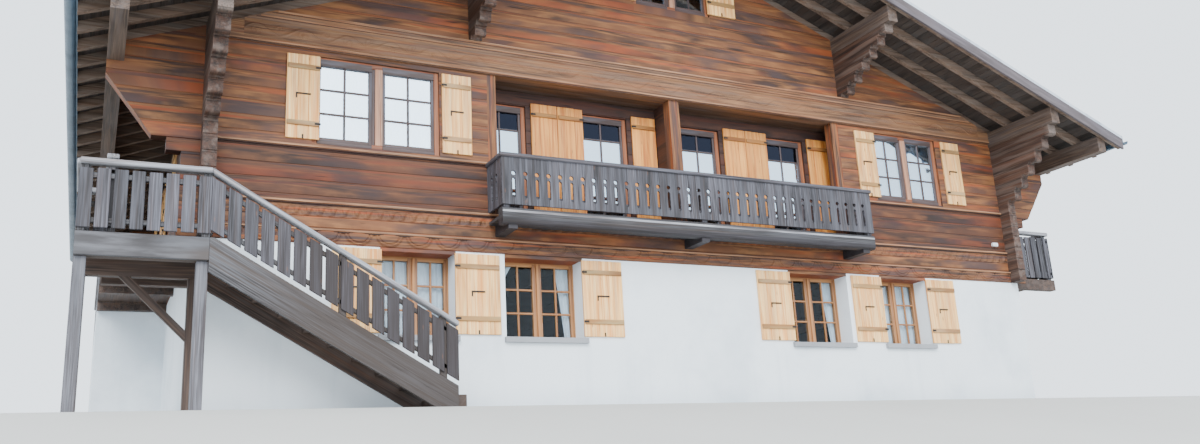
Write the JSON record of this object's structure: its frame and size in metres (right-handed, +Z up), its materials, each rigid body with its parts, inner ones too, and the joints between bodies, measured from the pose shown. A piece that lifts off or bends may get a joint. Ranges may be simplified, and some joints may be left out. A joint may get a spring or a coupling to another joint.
{
  "type": "alpine chalet",
  "caption": "Log chalet on a plastered masonry storey: low gable roof on stepped consoles, carved belt beam, loggia with pierced balcony, outside stair, landing and side galleries.",
  "frame": {"origin": "middle of the house on the ground, under the ridge and halfway from front to back", "axes": "+X to the right along the front, +Y from the front towards the back, +Z up"},
  "size_m": [17.9, 14.3, 8.2522],
  "materials": {
    "render": "white lime render, lightly trowelled",
    "floor_slab": "plain screed",
    "inner_boards": "planed softwood boards",
    "log_timber": "sun-burnt larch logs, warm brown with orange streaks",
    "roof_timber": "rough dark brown roof timber",
    "roof_covering": "dull grey tiles",
    "gutter_metal": "blue-grey painted sheet",
    "grey_timber": "weathered silver-grey boards",
    "window_wood": "oiled pine",
    "window_glass": "clear window glass",
    "shutter_wood": "pale honey pine",
    "door_wood": "oiled pine planks",
    "sill_stone": "dull grey stone",
    "curtain": "thin white curtain cloth"
  },
  "bodies": {
    "root": {"ground_front_wall": "render", "ground_back_wall": "render", "ground_left_wall": "render", "ground_right_wall": "render", "store_walls": "render", "ground_floor": "floor_slab", "first_floor": "inner_boards", "attic_floor": "inner_boards", "front_sill_logs": "log_timber", "front_left_wall": "log_timber", "front_right_wall": "log_timber", "loggia_back_wall": "log_timber", "loggia_side_walls": "log_timber", "front_belt_beam": "log_timber", "front_gable_wall": "log_timber", "back_wall": "log_timber", "back_gable_wall": "log_timber", "left_wall": "log_timber", "right_wall": "log_timber", "wings": "log_timber", "corner_consoles": "log_timber", "purlin_consoles": "log_timber", "purlins": "roof_timber", "left_rafters": "roof_timber", "right_rafters": "roof_timber", "left_roof": "roof_covering", "right_roof": "roof_covering", "verge_boards": "roof_timber", "gutters": "gutter_metal", "loggia_posts": "log_timber", "balcony_deck": "grey_timber", "balcony_railing": "grey_timber", "ground_windows": "window_wood", "ground_sills": "sill_stone", "ground_glass": "window_glass", "upper_windows": "window_wood", "upper_glass": "window_glass", "ground_shutters": "shutter_wood", "upper_shutters": "shutter_wood", "doors": "door_wood", "stair_stringers": "grey_timber", "stair_treads": "grey_timber", "stair_railing": "grey_timber", "landing_deck": "grey_timber", "landing_frame": "grey_timber", "gallery_decks": "grey_timber", "gallery_railings": "grey_timber"}
  },
  "joints": []
}
